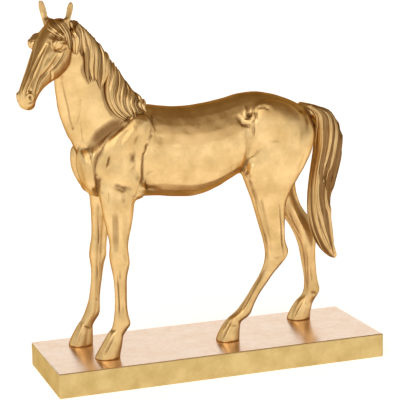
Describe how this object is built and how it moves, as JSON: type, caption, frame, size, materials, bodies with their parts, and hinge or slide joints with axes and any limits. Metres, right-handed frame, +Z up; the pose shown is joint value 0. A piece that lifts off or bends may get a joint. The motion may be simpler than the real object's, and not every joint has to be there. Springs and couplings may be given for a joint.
{
  "type": "horse statue",
  "caption": "Standing horse statue in gilded cast resin, head turned to its left, on a low rectangular plinth.",
  "frame": {"origin": "centre of the plinth's underside", "axes": "+Z up, -X is the way the horse faces, -Y is the horse's left side"},
  "size_m": [0.3253, 0.1052, 0.3261],
  "materials": {
    "gilt_resin": "gold leaf paint, semi-gloss, on cast resin",
    "gilt_resin_plinth": "gold leaf paint, satin, on cast resin"
  },
  "bodies": {
    "root": {"horse": "gilt_resin", "plinth": "gilt_resin_plinth"}
  },
  "joints": []
}
